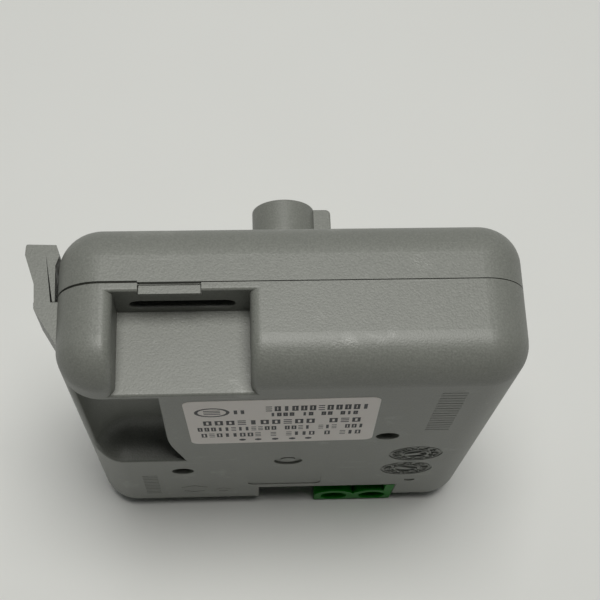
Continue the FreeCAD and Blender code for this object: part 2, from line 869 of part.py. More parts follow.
def make_potentiometer():
    """The rotary potentiometer: a square body with a recess, and its rotor with the shaft."""
    axis = {"x": "0", "z": "collar_z"}
    low = "board_bottom + board_thickness"
    half = "pot_side / 2"
    top = f"{low} + pot_height"
    blank = block("pot_blank", (f"0 - {half}", half), (low, top), (f"collar_z - {half}", f"collar_z + {half}"))
    recess_radius = "pot_disc_radius + pot_disc_play"
    recess = rod("pot_recess", "y", recess_radius, f"{top} - pot_recess_depth", f"{top} + 1", **axis)
    body = cut("potentiometer_body", blank, recess)
    disc_top = f"{top} - pot_disc_gap"
    disc_low = f"{top} - pot_recess_depth + pot_disc_gap"
    disc = rod("pot_disc", "y", "pot_disc_radius", disc_low, disc_top, **axis)
    shaft = rod("pot_shaft", "y", "pot_shaft_radius", disc_top, "pot_shaft_top", **axis)
    return body, fuse("potentiometer_rotor", disc, shaft)


# ---------------------------------------------------------------- the terminals

POLES = (("left", "-"), ("right", "+"))


def pole_centre(sign):
    return f"terminal_x {sign} terminal_pitch / 2"


def across_pole(sign, half):
    return (f"{pole_centre(sign)} - {half}", f"{pole_centre(sign)} + {half}")


def make_contact(side, sign):
    """One pole's contact bar with the leg that is soldered into the board."""
    bar = block(
        f"contact_bar_{side}",
        across_pole(sign, "bar_half_width"),
        ("bar_top", "bar_top + bar_thickness"),
        ("cage_low + neck_play", "leg_low + bar_thickness"),
    )
    leg = block(
        f"contact_leg_{side}",
        across_pole(sign, "leg_half_width"),
        ("bar_top + bar_thickness", "lead_tip"),
        ("leg_low", "leg_low + bar_thickness"),
    )
    return fuse(f"contact_{side}", bar, leg)


def make_terminal_block(contacts):
    """The moulded two-pole block: turrets over the screws, a chamber for each cage, wire entries."""
    width = ("terminal_x - terminal_width / 2", "terminal_x + terminal_width / 2")
    height = ("terminal_low", "terminal_high")
    solids = [block("block_blank", width, ("terminal_face", "board_bottom"), height)]
    over_cover_wall = (f"{width[0]} - 1", f"{width[1]} + 1")
    step_y = ("0 - block_step", "board_bottom + 1")
    spaces = [block("cover_wall_step", over_cover_wall, step_y, ("0", "wall + block_step"))]
    proud = ("turret_face", "terminal_face + 1")
    solids.append(block("block_face", width, proud, ("terminal_low", "clamp_axis_z")))
    post = ("terminal_x + terminal_width / 2 - end_post", "terminal_x + terminal_width / 2")
    solids.append(block("block_post", post, proud, height))
    for side, sign in POLES:
        axis = {"x": pole_centre(sign), "z": "clamp_axis_z"}
        cap = rod(f"turret_{side}", "y", "turret_radius", *proud, **axis)
        reach = block(f"turret_reach_{side}", width, proud, height)
        solids.append(common(f"turret_cap_{side}", cap, reach))
        spaces.append(rod(f"turret_well_{side}", "y", "turret_bore", "turret_face - 1", "turret_floor", **axis))
        neck = "clamp_screw_radius + neck_play"
        spaces.append(rod(f"screw_neck_{side}", "y", neck, "turret_floor - 1", "chamber_top + 1", **axis))
        across = across_pole(sign, "chamber_half_width")
        chamber_y = ("chamber_top", "board_bottom + 1")
        spaces.append(block(f"chamber_{side}", across, chamber_y, ("chamber_low", "chamber_high")))
        mouth = across_pole(sign, "cage_half_width - cage_wall")
        mouth_y = ("bar_top + bar_thickness", "cage_bottom - cage_plate")
        spaces.append(block(f"wire_entry_{side}", mouth, mouth_y, ("0", "chamber_low + 1")))
    return cut("terminal_block", fuse("block_solids", *solids), *spaces, *contacts)


def make_terminal_screw(side, sign):
    """One slotted clamp screw, captive in its turret."""
    axis = {"x": pole_centre(sign), "z": "clamp_axis_z"}
    seat = "turret_floor - seat_play"
    top = f"{seat} - clamp_head_height"
    head = rod(f"clamp_head_{side}", "y", "clamp_head_radius", top, seat, **axis)
    shank = rod(f"clamp_shank_{side}", "y", "clamp_screw_radius", seat, "bar_top - seat_play", **axis)
    slot = block(
        f"clamp_slot_{side}",
        across_pole(sign, "clamp_head_radius + 1"),
        (f"{top} - 1", f"{top} + clamp_slot_depth"),
        ("clamp_axis_z - clamp_slot_half_width", "clamp_axis_z + clamp_slot_half_width"),
    )
    return cut(f"terminal_screw_{side}", fuse(f"clamp_blank_{side}", head, shank), slot)


def make_wire_clamp(side, sign):
    """One rising cage: a square ring whose top plate rides on the clamp screw."""
    axis = {"x": pole_centre(sign), "z": "clamp_axis_z"}
    outer = block(
        f"cage_outer_{side}",
        across_pole(sign, "cage_half_width"),
        ("cage_top", "cage_bottom"),
        ("cage_low", "cage_high"),
    )
    inner = block(
        f"cage_inner_{side}",
        across_pole(sign, "( cage_half_width - cage_wall )"),
        ("cage_top + cage_plate", "cage_bottom - cage_plate"),
        ("cage_low - 1", "cage_high + 1"),
    )
    bore = "clamp_screw_radius + cage_thread_play"
    thread = rod(f"cage_thread_{side}", "y", bore, "cage_top - 1", "cage_top + cage_plate + 1", **axis)
    return cut(f"wire_clamp_{side}", outer, inner, thread)


# ---------------------------------------------------------------- plug-in terminals

def make_element_tabs():
    """The two blades for the heating element's push-on sleeves, each with a foot in the board."""
    tabs = []
    for side, left in (("left", "tab_x"), ("right", "tab_x + tab_pitch")):
        x = (left, f"{left} + tab_thickness")
        blade = block(f"tab_blade_{side}", x, ("tab_outer", "tab_inner"), ("tab_tip", "tab_end"))
        foot = block(f"tab_foot_{side}", x, ("tab_inner", "lead_tip"), ("tab_end - tab_foot", "tab_end"))
        tabs.append(fuse(f"tab_{side}", blade, foot))
    return group("element_tabs", *tabs)


def across_sensor(half):
    return (f"sensor_x - ( {half} )", f"sensor_x + ( {half} )")


def make_sensor_connector():
    """The socket for the temperature sensors, with its bent pins."""
    pins = []
    bottom = "pin_y + pin_thickness"
    for side, shift in (("left", "- sensor_pitch"), ("middle", ""), ("right", "+ sensor_pitch")):
        across = (f"sensor_x {shift} - pin_half_width", f"sensor_x {shift} + pin_half_width")
        reach = block(f"pin_reach_{side}", across, ("pin_y", bottom), ("pin_tip", "pin_bend"))
        leg = block(f"pin_leg_{side}", across, (bottom, "lead_tip"), ("pin_bend - pin_thickness", "pin_bend"))
        pins.append(fuse(f"pin_{side}", reach, leg))
    low = "wiring_top + wall + window_play"
    blank = block(
        "socket_blank", across_sensor("sensor_half_width"), ("sensor_outer", "board_bottom"), (low, "sensor_end")
    )
    mouth = block(
        "socket_mouth",
        across_sensor("sensor_half_width - sensor_wall"),
        ("sensor_outer + sensor_wall", "sensor_inner"),
        (f"{low} - 1", "sensor_end - sensor_floor"),
    )
    window = block(
        "socket_window",
        across_sensor("sensor_half_width - sensor_wall + window_play"),
        ("sensor_outer + sensor_wall - window_play", "sensor_inner + window_play"),
        ("wiring_top - 1", "wiring_top + wall + 1"),
    )
    group_of_pins = group("sensor_pins", *pins)
    return cut("sensor_connector", blank, mouth, *pins), group_of_pins, window


# ---------------------------------------------------------------- the relay

def relay_block(name, x, y, z):
    """A box placed from the relay's own centre; y is in the module's frame."""
    low, high = z
    x_pair = (f"relay_x - {x}", f"relay_x + {x}")
    return block(name, x_pair, y, (f"relay_z + ( {low} )", f"relay_z + ( {high} )"))


def make_relay():
    """A flat power relay lying along the board, as the separate pieces inside its cover."""
    top = "board_bottom - relay_height"
    half_width = "relay_width / 2"
    half_length = "relay_length / 2"
    shell = relay_block("relay_shell", half_width, (top, "board_bottom"), (f"0 - {half_length}", half_length))
    hollow = relay_block(
        "relay_hollow",
        "( relay_width / 2 - relay_wall )",
        (f"{top} + relay_wall", "board_bottom + 1"),
        (f"0 - {half_length} + relay_wall", f"{half_length} - relay_wall"),
    )
    cover = cut("relay_cover", shell, hollow)
    base = relay_block(
        "relay_base",
        "relay_inner_half_width",
        ("relay_base_top", "relay_base_low"),
        ("0 - relay_inner_half_length", "relay_inner_half_length"),
    )

    def along_core(name, radius, far, near):
        ends = (f"relay_z + ( {far} )", f"relay_z + ( {near} )")
        return rod(name, "z", radius, *ends, x="relay_x", y="relay_core_y")

    core = along_core("relay_core", "relay_core_radius", "relay_coil_far", "relay_core_near")
    inner_far = "relay_coil_far - yoke_thickness"
    back = relay_block(
        "yoke_back", "yoke_half_width", ("yoke_top", "yoke_bottom"), (inner_far, "relay_coil_far")
    )
    leg_top = "yoke_bottom - yoke_thickness"
    leg = relay_block(
        "yoke_leg", "yoke_half_width", (leg_top, "yoke_bottom"), ("relay_coil_far - 0.6", "yoke_leg_near")
    )
    foot = relay_block(
        "yoke_foot",
        "yoke_foot_half_width",
        ("yoke_bottom - 0.4", "relay_base_top"),
        ("relay_coil_far - 1", "relay_coil_far"),
    )
    yoke = fuse("relay_yoke", core, back, leg, foot)

    winding = along_core("coil_winding", "relay_coil_radius", "relay_coil_far", "relay_coil_near")
    wide = "relay_flange_radius"
    flanges = [
        along_core("coil_flange_far", wide, "relay_coil_far", "relay_coil_far + relay_flange"),
        along_core("coil_flange_near", wide, "relay_coil_near - relay_flange", "relay_coil_near"),
    ]
    core_space = along_core("coil_bore", "relay_core_radius", "relay_coil_far - 1", "relay_coil_near + 1")
    coil = cut("relay_coil", fuse("coil_solid", winding, *flanges), core_space)

    plate = relay_block(
        "armature_plate",
        "yoke_half_width",
        ("armature_top", "armature_bottom"),
        ("armature_far", "armature_near"),
    )
    heel = relay_block(
        "armature_heel",
        "yoke_half_width",
        ("armature_bottom - armature_heel", "armature_bottom"),
        ("armature_heel_far", "armature_far + 0.15"),
    )
    moving_strip = ("moving_strip_top", "moving_strip_top + contact_strip_thickness")
    arm = relay_block(
        "contact_arm", "contact_strip_half_width", moving_strip, ("armature_near - 0.15", "moving_strip_near")
    )
    contact_place = {"x": "relay_x", "z": "relay_z + contact_z"}
    moving = rod(
        "moving_contact", "y", "contact_radius", "moving_contact_top", "moving_strip_top + 0.1", **contact_place
    )
    armature = fuse("relay_armature", plate, heel, arm, moving)

    fixed_strip = "fixed_strip_top + contact_strip_thickness"
    strip = relay_block(
        "fixed_strip",
        "contact_strip_half_width",
        ("fixed_strip_top", fixed_strip),
        ("fixed_strip_far", "fixed_strip_near"),
    )
    post = relay_block(
        "fixed_post",
        "contact_strip_half_width",
        ("fixed_strip_top", "relay_base_top"),
        ("fixed_strip_near - contact_strip_thickness", "fixed_strip_near"),
    )
    fixed = rod(
        "fixed_contact", "y", "contact_radius", f"{fixed_strip} - 0.1", "fixed_contact_bottom", **contact_place
    )
    contact = fuse("relay_contact", strip, post, fixed)
    return [cover, base, yoke, coil, armature, contact]


# ---------------------------------------------------------------- the board

def make_board(pin_spaces):
    """The circuit board, held between the two halves' bosses."""
    body = doc.addObject("PartDesign::Body", "board_outline")
    sketch = new_sketch(body, "XZ_Plane", "0 - board_bottom")
    margin = "wall + board_play"
    draw_rounded_rectangle(
        sketch,
        f"0 - case_width / 2 + {margin}",
        f"case_width / 2 - ( {margin} )",
        margin,
        "case_height - board_top_drop",
        f"outline_radius - ( {margin} )",
    )
    doc.recompute()
    pad(body, sketch, "board_thickness", reverse=True)
    holes = []
    for well in WELLS:
        place = {"x": f"{well}_x", "z": f"{well}_z"}
        holes.append(rod(f"{well}_board_hole", "y", "screw_shank_radius + 0.2", "0", "5", **place))
    return cut("circuit_board", body, *holes, *pin_spaces)


def make_board_parts():
    """The plain leaded parts that stand on the board's label side."""
    top = size("tall_part_top")
    face = size("board_bottom")
    tall = ("tall_part_top", "board_bottom")
    film = block("film_blank", ("film_left", "film_right"), tall, ("film_low", "film_high"))
    film_round = rounded("film_capacitor", film, 0.8, lambda edge: not spans(edge, y=(face, face)))
    can = rod("can_blank", "y", "can_radius", *tall, x="can_x", z="can_z")
    can_round = rounded("smoothing_capacitor", can, 0.6, lambda edge: spans(edge, y=(top, top)))
    fuse_cap = rod("fuse", "y", "fuse_radius", "fuse_top", "board_bottom", x="fuse_x", z="fuse_z")
    disc_high = "varistor_low + varistor_thickness"
    disc_axis = {"x": "varistor_x", "y": "varistor_y"}
    disc = rod("varistor_blank", "z", "varistor_radius", "varistor_low", disc_high, **disc_axis)
    disc_round = rounded("varistor", disc, 1.2, lambda edge: edge.Length > 20)
    choke = rod("choke", "y", "choke_radius", "choke_top", "board_bottom", x="choke_x", z="choke_z")
    chip = block(
        "microcontroller",
        ("chip_left", "chip_left + chip_length"),
        ("chip_top", "board_bottom"),
        ("chip_low", "chip_low + chip_width"),
    )
    return [film_round, can_round, fuse_cap, disc_round, choke, chip]


# ---------------------------------------------------------------- assembly

def build():
    """Every node of the assembly; the object's name is the node's name."""
    contacts = [make_contact(side, sign) for side, sign in POLES]
    sensor_connector, sensor_pins, sensor_window = make_sensor_connector()
    element_tabs = make_element_tabs()
    block_window = block(
        "block_window",
        ("terminal_x - terminal_width / 2 - 0.1", "wiring_right"),
        ("wiring_floor - 1", "wall"),
        ("terminal_low - 0.1", "terminal_high + 0.1"),
    )
    nodes = [
        make_base_housing([block_window, sensor_window, *element_tabs.Links]),
        make_front_cover(),
        make_spindle_collar(),
        make_side_latch(),
        make_rating_label(),
        make_case_screws(),
        make_terminal_block(contacts),
        group("terminal_contacts", *contacts),
        make_adjuster_spindle(),
        *make_potentiometer(),
        make_board([*contacts, *sensor_pins.Links, *element_tabs.Links]),
        *make_relay(),
        *make_board_parts(),
        sensor_connector,
        sensor_pins,
        element_tabs,
    ]
    for side, sign in POLES:
        nodes.append(make_terminal_screw(side, sign))
        nodes.append(make_wire_clamp(side, sign))
    doc.recompute()
    for node in nodes:
        node.Label = node.Name
    return nodes


def check(nodes):
    """Stop if any object failed to recompute or any node has no valid shape."""
    for thing in doc.Objects:
        if "Invalid" in thing.State or "Error" in thing.State:
            raise RuntimeError(f"{thing.Name} failed: {thing.State}")
    for node in nodes:
        if node.Shape.isNull() or not node.Shape.isValid():
            raise RuntimeError(f"{node.Name} has no valid shape")


def write(nodes):
    os.makedirs("parts", exist_ok=True)
    for node in nodes:
        node.Shape.exportStep(f"parts/{node.Name}.step")
        solids = len(node.Shape.Solids)
        print(f"{node.Name:22s} {solids} solid(s) {node.Shape.Volume / 1000:8.3f} cm3")


NODES = build()
check(NODES)
write(NODES)
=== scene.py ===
# %% [markdown]
# # A thermostat module of a water heater
# The object is the electronic thermostat that clips to the end of a storage water heater: a flat
# grey box in two halves, with a sticker, a green screw terminal block and a collar for its
# temperature spindle. Its solids arrive finished from the CAD model, in metres and already in
# place. This lesson gives every solid the finish of its real material, adds what a CAD model
# leaves out, such as the print on the sticker and the raised marks of the mould, and then sets
# up the floor, the light and the camera.

# %% Load the solids and note how much room they take
import json
import math
import random

import bmesh
import bpy
from mathutils import Matrix, Vector


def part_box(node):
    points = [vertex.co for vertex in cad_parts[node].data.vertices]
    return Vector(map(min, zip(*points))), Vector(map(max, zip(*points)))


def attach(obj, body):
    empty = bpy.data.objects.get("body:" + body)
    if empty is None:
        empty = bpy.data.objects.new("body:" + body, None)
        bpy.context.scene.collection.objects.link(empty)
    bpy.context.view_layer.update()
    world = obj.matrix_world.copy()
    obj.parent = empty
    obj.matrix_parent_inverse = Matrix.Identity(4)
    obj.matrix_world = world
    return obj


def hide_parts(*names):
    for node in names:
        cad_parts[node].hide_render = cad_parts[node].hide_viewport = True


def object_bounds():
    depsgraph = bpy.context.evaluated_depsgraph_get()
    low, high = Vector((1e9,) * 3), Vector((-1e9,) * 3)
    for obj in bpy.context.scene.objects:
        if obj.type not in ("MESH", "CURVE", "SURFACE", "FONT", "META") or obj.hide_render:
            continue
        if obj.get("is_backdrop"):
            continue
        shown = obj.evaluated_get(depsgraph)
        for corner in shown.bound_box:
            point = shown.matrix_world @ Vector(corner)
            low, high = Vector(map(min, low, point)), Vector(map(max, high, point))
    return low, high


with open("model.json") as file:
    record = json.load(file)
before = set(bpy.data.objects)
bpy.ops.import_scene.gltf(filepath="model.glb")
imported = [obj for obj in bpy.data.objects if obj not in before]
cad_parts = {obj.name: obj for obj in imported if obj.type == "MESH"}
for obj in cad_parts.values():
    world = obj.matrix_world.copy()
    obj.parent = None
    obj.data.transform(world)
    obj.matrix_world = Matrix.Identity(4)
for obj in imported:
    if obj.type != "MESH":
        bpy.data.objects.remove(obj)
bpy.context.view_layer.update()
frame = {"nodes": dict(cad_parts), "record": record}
solids = frame["nodes"]

MM = 0.001
case_low, case_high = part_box("base_housing")
LABEL_FACE = -19 * MM
NEAR_END = case_high.z
print("the near end is at", round(NEAR_END / MM, 2), "mm")

# %% [markdown]
# ## Colours and shader nodes
# A colour listed here is an sRGB value, while the renderer adds up light in linear values, so one
# function turns the first into the second. A second function adds one shader node: its settings
# come as words, and each of its inputs is given either a value or the output that feeds it. Three
# short ones do what every finish needs: mix two colours, feed the shader, and start a material.

# %% Functions for colours, nodes and the start of a finish
def paint(hex_colour):
    """The linear colour for an sRGB hex value such as 8C8D87."""
    linear = []
    for start in (0, 2, 4):
        value = int(hex_colour[start:start + 2], 16) / 255
        linear.append(value / 12.92 if value <= 0.04045 else ((value + 0.055) / 1.055) ** 2.4)
    return (*linear, 1.0)


def add(material, kind, inputs=None, **settings):
    """Add one node. inputs gives a value or a feeding output for each input, by name or number."""
    tree = material.node_tree
    node = tree.nodes.new(kind)
    for name, value in settings.items():
        setattr(node, name, value)
    for name, value in (inputs or {}).items():
        if isinstance(value, bpy.types.NodeSocket):
            tree.links.new(value, node.inputs[name])
        else:
            node.inputs[name].default_value = value
    return node


def mix(material, share, first, second, **settings):
    """The colour that lies between two others, by a share from 0 to 1."""
    inputs = {"Fac": share, "Color1": first, "Color2": second}
    return add(material, "ShaderNodeMixRGB", inputs, **settings).outputs["Color"]


def join_surface(material, shader, **outputs):
    """Feed outputs into the shader's inputs, which are named in words."""
    for words, output in outputs.items():
        material.node_tree.links.new(output, shader.inputs[words.replace("_", " ")])


def start_finish(name, **surface):
    """A new material. surface sets numbers on the shader itself, so that the export keeps them."""
    material = bpy.data.materials.new(name)
    material.use_nodes = True
    shader = material.node_tree.nodes["Principled BSDF"]
    for words, value in surface.items():
        shader.inputs[words.replace("_", " ")].default_value = value
    where = add(material, "ShaderNodeTexCoord").outputs["Object"]
    return material, shader, where


print("middle grey of the case:", [round(value, 3) for value in paint("8C8D87")])

# %% [markdown]
# ## Moulded plastics
# Most of the module is injection moulded. A steel mould finished by spark erosion leaves a fine,
# even grain on the plastic, and the melt leaves slow clouds of slightly different shade where it
# cooled. Both are noise at two very different sizes: the grain turns into bump and roughness, the
# clouds into colour. One function makes that finish for any plastic, with the grain's real size
# in millimetres, so that each part only states how coarse, how glossy and which colour it is.

# %% A function for moulded plastic
def mould(name, colour, cloud_colour, roughness, grain_mm, height_mm, cloud_mm=14, **surface):
    """Moulded plastic: clouds between two close colours, and the mould's grain as bump and gloss."""
    material, shader, where = start_finish(name, **surface)
    clouds = add(material, "ShaderNodeTexNoise",
                 {"Vector": where, "Scale": 1 / (cloud_mm * MM), "Detail": 3.0}, name="clouds")
    grain = add(material, "ShaderNodeTexNoise",
                {"Vector": where, "Scale": 1 / (grain_mm * MM), "Detail": 2.0}, name="grain")
    tint = mix(material, clouds.outputs["Fac"], paint(colour), paint(cloud_colour), name="tint")
    gloss = add(material, "ShaderNodeMapRange",
                {"Value": grain.outputs["Fac"], "To Min": roughness - 0.06, "To Max": roughness + 0.08},
                name="gloss")
    relief = add(material, "ShaderNodeBump",
                 {"Height": grain.outputs["Fac"], "Distance": height_mm * MM}, name="relief")
    join_surface(material, shader, Base_Color=tint, Roughness=gloss.outputs["Result"],
                 Normal=relief.outputs["Normal"])
    return material


# %% [markdown]
# ## The case: grey spark-eroded ABS
# The two halves, the collar and the clip are warm grey ABS. Up close the surface is a satin
# orange-peel of grains a third of a millimetre across that sparkle one by one under a lamp. The
# part has also lived a little: short hairline scratches from handling, pale rubbed patches on the
# faces that get touched, and a few dark specks in the plastic. Each of these is its own pattern
# laid over the moulded finish, because they have different sizes and directions.

# %% The grey case plastic
case_abs = mould("spark_eroded_grey_abs", "7C7E78", "757771", 0.42, 0.36, 0.050,
                 Specular_IOR_Level=0.48)
nodes_of_case = case_abs.node_tree.nodes
place_on_case = nodes_of_case["Texture Coordinate"].outputs["Object"]
tint_of_case = nodes_of_case["tint"].outputs["Color"]
grain_of_case = nodes_of_case["grain"].outputs["Fac"]
gloss_of_case = nodes_of_case["gloss"].outputs["Result"]
PATCH_MM = 9

# dark specks: far-apart cells of which only a small middle shows
speck_cells = add(case_abs, "ShaderNodeTexVoronoi",
                  {"Vector": place_on_case, "Scale": 1 / (PATCH_MM * MM)})
specks = add(case_abs, "ShaderNodeMapRange",
             {"Value": speck_cells.outputs["Distance"], "From Min": 0.012, "From Max": 0.03,
              "To Min": 0.55, "To Max": 0.0})
# scratches: noise drawn out long and thin, of which only the crests show
long_and_thin = add(case_abs, "ShaderNodeMapping",
                    {"Vector": place_on_case, "Rotation": (0.3, 0.5, 0.35), "Scale": (60, 2600, 700)})
scratch_noise = add(case_abs, "ShaderNodeTexNoise",
                    {"Vector": long_and_thin.outputs["Vector"], "Scale": 1.0, "Detail": 1.0})
scratches = add(case_abs, "ShaderNodeMapRange",
                {"Value": scratch_noise.outputs["Fac"], "From Min": 0.71, "From Max": 0.78})
scratch_strength = add(case_abs, "ShaderNodeMath", {0: scratches.outputs["Result"], 1: 0.30},
                       operation="MULTIPLY")
# rubbed patches: large soft clouds that come out a little paler and smoother
rub_noise = add(case_abs, "ShaderNodeTexNoise",
                {"Vector": place_on_case, "Scale": 1 / (PATCH_MM * MM), "Detail": 5.0,
                 "Roughness": 0.62})
rubbed = add(case_abs, "ShaderNodeMapRange",
             {"Value": rub_noise.outputs["Fac"], "From Min": 0.60, "From Max": 0.74, "To Max": 0.16})

# painted sparkle: each grain is a touch paler or darker than the next, standing in for its facet
# catching the light
grain_with_painted_sparkle = mix(case_abs, 0.30, tint_of_case, grain_of_case, blend_type="OVERLAY")
with_specks = mix(case_abs, specks.outputs["Result"], grain_with_painted_sparkle, paint("3E3F3C"))
with_scratches = mix(case_abs, scratch_strength.outputs["Value"], with_specks, paint("A4A6A0"))
with_rubs = mix(case_abs, rubbed.outputs["Result"], with_scratches, paint("9EA09A"))
smoother = add(case_abs, "ShaderNodeMath", {0: gloss_of_case, 1: rubbed.outputs["Result"]},
               operation="SUBTRACT")
join_surface(case_abs, nodes_of_case["Principled BSDF"], Base_Color=with_rubs,
             Roughness=smoother.outputs["Value"])
print("case plastic:", len(nodes_of_case), "nodes")

# %% [markdown]
# ## The other plastics
# The terminal block is satin green polyamide, the usual choice for terminals because it does not
# burn; polyamide flows well, so its surface is smooth with only faint ripples. The spindle is a
# lighter, smoother ABS; the small electrical parts are black or ivory glass-filled polyester,
# whose fibres leave fine dull streaks; the relay's cover is black and glossy.

# %% Terminal block, spindle and the small mouldings
terminal_polyamide = mould("satin_green_polyamide", "14801A", "0D6813", 0.48, 1.6, 0.020, 5,
                           Specular_IOR_Level=0.15)
spindle_abs = mould("smooth_grey_abs", "878983", "7F817B", 0.40, 0.6, 0.008)
black_polyester = mould("black_glass_filled_polyester", "1D1E1F", "27282A", 0.48, 0.5, 0.012, 4)
ivory_polyester = mould("ivory_glass_filled_polyester", "E4DFCF", "D8D2BF", 0.42, 0.5, 0.010, 4)
relay_cover_plastic = mould("polished_black_relay_plastic", "111214", "191A1D", 0.16, 2.0, 0.012, 6,
                            Coat_Weight=0.4)
chip_epoxy = mould("matt_black_chip_epoxy", "202123", "2B2C2E", 0.62, 0.25, 0.012, 2)
film_box = mould("yellow_film_capacitor_box", "D9A520", "C7931A", 0.24, 1.2, 0.010, 5, Coat_Weight=0.3)
print("made", len(bpy.data.materials), "materials so far")

# %% [markdown]
# ## Dipped, sleeved and varnished parts
# A varistor is dipped in blue epoxy, which draws into soft runs; an electrolytic capacitor wears a
# dark shrink sleeve with a pale stripe that marks its minus side; the coil is enamelled copper
# wire wound in layers, so its bands are as far apart as the wire is thick. The circuit board is
# glass cloth under green solder-resist lacquer: the weave shows faintly, and copper tracks show
# through as paler lines.

# %% Varistor, capacitor sleeve and coil
varistor_epoxy = mould("dipped_blue_epoxy", "1F4FA8", "173F8C", 0.18, 2.4, 0.12, 3, Coat_Weight=0.6)

sleeve, sleeve_shader, sleeve_place = start_finish("navy_shrink_sleeve", Coat_Weight=0.3, Roughness=0.3)
STRIPE_EDGE = -11.6 * MM
sleeve_split = add(sleeve, "ShaderNodeSeparateXYZ", {"Vector": sleeve_place})
in_stripe = add(sleeve, "ShaderNodeMath", {0: sleeve_split.outputs["X"], 1: STRIPE_EDGE},
                operation="LESS_THAN")
wrinkle = add(sleeve, "ShaderNodeTexNoise",
              {"Vector": sleeve_place, "Scale": 1 / (1.5 * MM), "Detail": 3.0})
sleeve_tone = mix(sleeve, wrinkle.outputs["Fac"], paint("141B33"), paint("1D2745"))
sleeve_colour = mix(sleeve, in_stripe.outputs["Value"], sleeve_tone, paint("B9BDC6"))
sleeve_relief = add(sleeve, "ShaderNodeBump", {"Height": wrinkle.outputs["Fac"], "Distance": 0.04 * MM})
join_surface(sleeve, sleeve_shader, Base_Color=sleeve_colour, Normal=sleeve_relief.outputs["Normal"])

WIRE_MM = 0.35
coil_wire, coil_shader, coil_place = start_finish(
    "enamelled_copper_winding", Metallic=1.0, Roughness=0.3, Coat_Weight=0.8)


def waves(material, where, step_mm, direction, **inputs):
    """Straight bands, one every step_mm; the node's own bands lie pi / 10 apart at scale 1."""
    inputs.update({"Vector": where, "Scale": math.pi / 10 / (step_mm * MM)})
    return add(material, "ShaderNodeTexWave", inputs, bands_direction=direction).outputs["Fac"]


turns = waves(coil_wire, coil_place, WIRE_MM, "Z", Distortion=0.6)
# painted shade and highlight: each turn is drawn dark copper in its groove and bright copper on its
# crest, as light falls on round wire
turn_painted_shading = mix(coil_wire, turns, paint("7A2F12"), paint("C9702E"))
turn_relief = add(coil_wire, "ShaderNodeBump", {"Height": turns, "Distance": WIRE_MM * 0.4 * MM})
join_surface(coil_wire, coil_shader, Base_Color=turn_painted_shading, Normal=turn_relief.outputs["Normal"])
print("wire of", WIRE_MM, "mm on the coil")

# %% The circuit board's lacquer over weave and tracks
board_lacquer, board_shader, board_place = start_finish(
    "green_solder_resist", Roughness=0.3, Coat_Weight=0.3)
WEAVE_MM = 0.5
TRACK_STEP_MM = 12
weave = add(board_lacquer, "ShaderNodeMath",
            {0: waves(board_lacquer, board_place, WEAVE_MM, "X"),
             1: waves(board_lacquer, board_place, WEAVE_MM, "Z")}, operation="MULTIPLY")
track_map = add(board_lacquer, "ShaderNodeMapping",
                {"Vector": board_place, "Rotation": (math.radians(90), 0, 0)})
tracks = add(board_lacquer, "ShaderNodeTexBrick",
             {"Vector": track_map.outputs["Vector"], "Scale": 1 / (TRACK_STEP_MM * MM),
              "Mortar Size": 0.035, "Color1": (0, 0, 0, 1), "Color2": (0, 0, 0, 1),
              "Mortar": (1, 1, 1, 1)}, offset=0.37).outputs["Color"]
under_lacquer = mix(board_lacquer, weave.outputs["Value"], paint("0E4A26"), paint("14562D"))
with_tracks = mix(board_lacquer, tracks, under_lacquer, paint("2E7C3F"))
board_relief = add(board_lacquer, "ShaderNodeBump", {"Height": tracks, "Distance": 0.04 * MM})
join_surface(board_lacquer, board_shader, Base_Color=with_tracks, Normal=board_relief.outputs["Normal"])
print("weave every", WEAVE_MM, "mm, tracks every", TRACK_STEP_MM, "mm")

# %% [markdown]
# ## Plated metals
# The screws and cages are steel with a bright zinc plating that goes cloudy, the contacts and
# blades are brass tinned against corrosion, and the relay's iron is nickel plated. All three are
# sheet or wire worked cold, so fine drawn lines run one way through them. A metal's colour is its
# reflection, so the finish is in the roughness: streaks along the metal, clouds across it.

# %% A function for plated metal and the three metals
def plate(name, bright, dull, roughness, streak_scale):
    """Metal with lines drawn out along one direction and cloudy plating."""
    material, shader, where = start_finish(name, Metallic=1.0)
    stretched = add(material, "ShaderNodeMapping", {"Vector": where, "Scale": streak_scale})
    streaks = add(material, "ShaderNodeTexNoise",
                  {"Vector": stretched.outputs["Vector"], "Scale": 1.0, "Detail": 3.0})
    clouds = add(material, "ShaderNodeTexNoise",
                 {"Vector": where, "Scale": 1 / (1.8 * MM), "Detail": 4.0})
    tone = mix(material, clouds.outputs["Fac"], paint(bright), paint(dull))
    gloss = add(material, "ShaderNodeMapRange",
                {"Value": streaks.outputs["Fac"],
                 "To Min": roughness - 0.1, "To Max": roughness + 0.15})
    relief = add(material, "ShaderNodeBump", {"Height": streaks.outputs["Fac"], "Distance": 0.01 * MM})
    join_surface(material, shader, Base_Color=tone, Roughness=gloss.outputs["Result"],
                 Normal=relief.outputs["Normal"])
    return material


zinc_plate = plate("bright_zinc_plated_steel", "C9CBCB", "A4A7A8", 0.32, (5000, 400, 5000))
tin_plate = plate("tinned_brass", "D9CFA6", "BFB283", 0.30, (4000, 4000, 350))
nickel_plate = plate("nickel_plated_iron", "B4B2AC", "93918B", 0.38, (3500, 3500, 300))
print("metals:", zinc_plate.name, tin_plate.name, nickel_plate.name)

# %% [markdown]
# ## Dressing the solids
# The record names a material slot for every solid, so the finishes are handed out by slot: a
# dictionary says which finish stands for which slot, and a short loop sets each solid's material.
# Only the material changes; the solids stay as they are.

